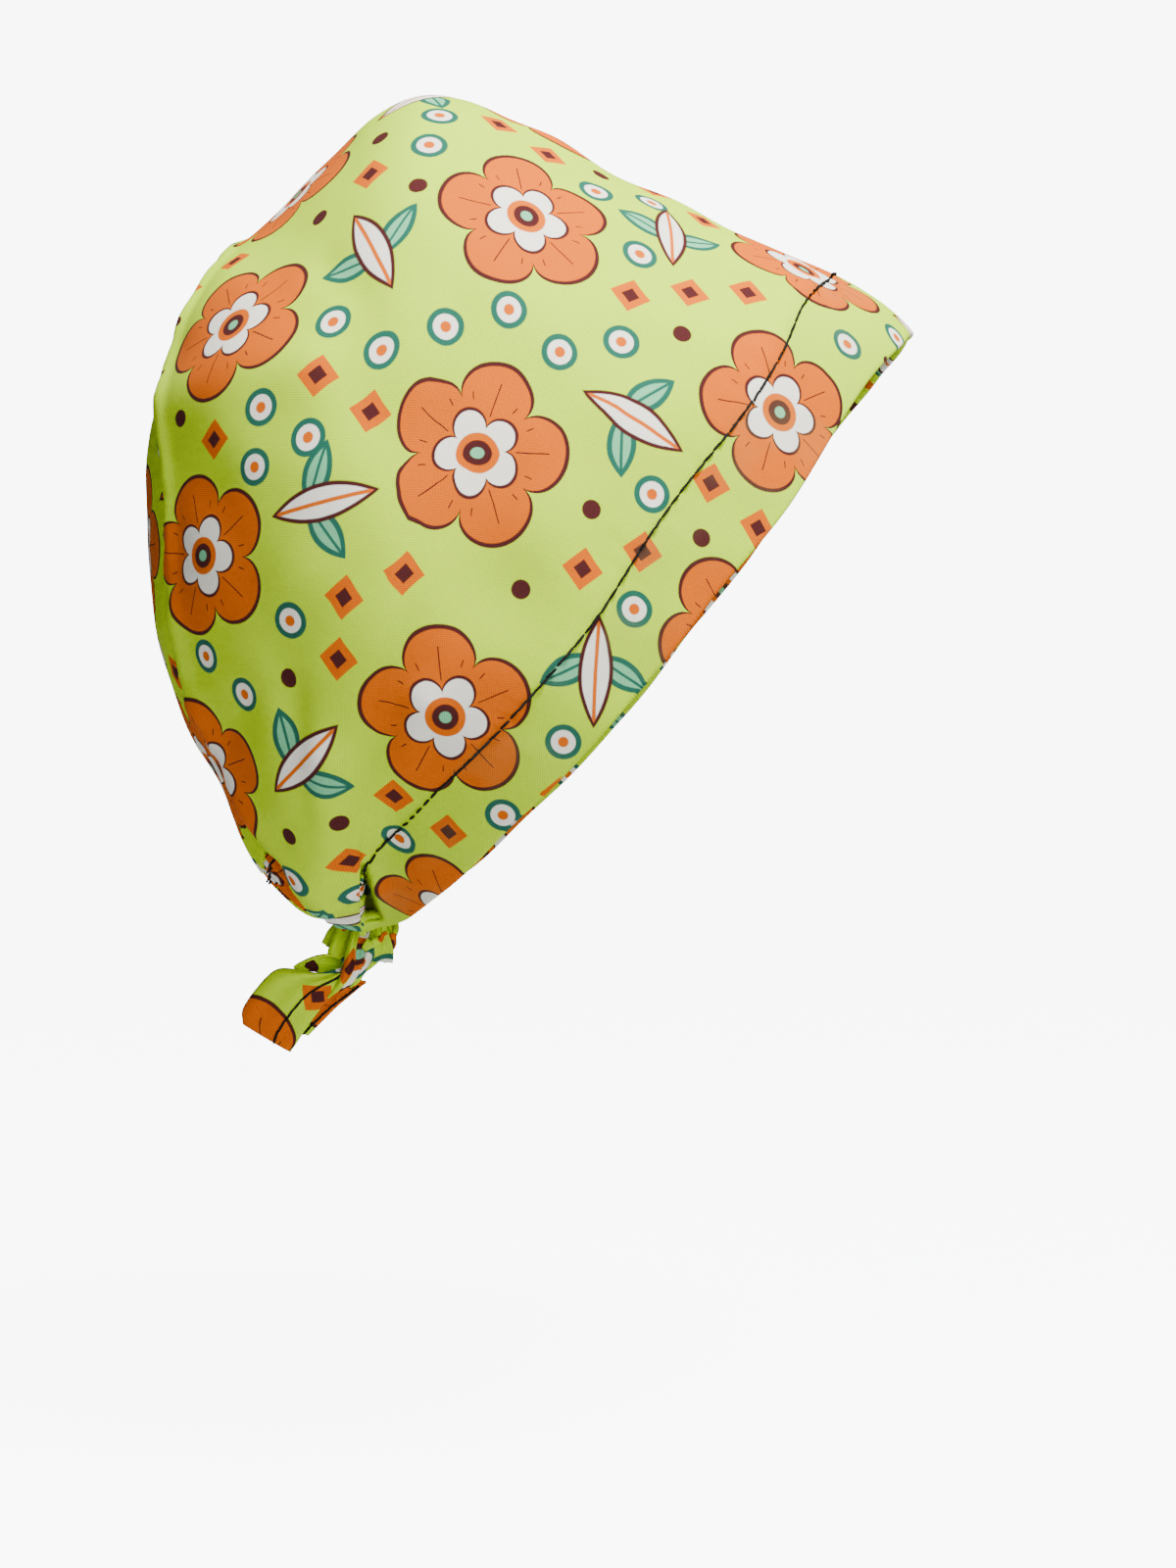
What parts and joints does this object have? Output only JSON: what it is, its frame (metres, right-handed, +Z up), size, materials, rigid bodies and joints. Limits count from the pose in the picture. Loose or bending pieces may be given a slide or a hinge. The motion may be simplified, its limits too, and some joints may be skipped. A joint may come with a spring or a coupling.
{
  "type": "scrub cap",
  "caption": "Tie-back cloth scrub cap with a wide front and side panel, a gathered back panel, a turned-up stitched hem and knotted ties, held in the shape it has on a head.",
  "frame": {"origin": "middle of the hollow that the head fills, where the head holds the cap up", "axes": "+X to the forehead, +Z up, the wearer's right side towards -Y"},
  "size_m": [0.1693, 0.158, 0.2098],
  "materials": {
    "panel_cotton": "printed plain-weave cotton, lime ground",
    "hem_cotton": "printed plain-weave cotton, turned up and top-stitched",
    "tie_cotton": "printed plain-weave cotton, folded and stitched narrow"
  },
  "bodies": {
    "root": {"front_panel": "panel_cotton", "hem_layer": "hem_cotton", "back_panel": "panel_cotton", "nape_casing": "panel_cotton", "tie_right": "tie_cotton", "tie_left": "tie_cotton", "tie_knot": "tie_cotton", "knot_loop": "tie_cotton", "tail_right": "tie_cotton", "tail_left": "tie_cotton"}
  },
  "joints": []
}
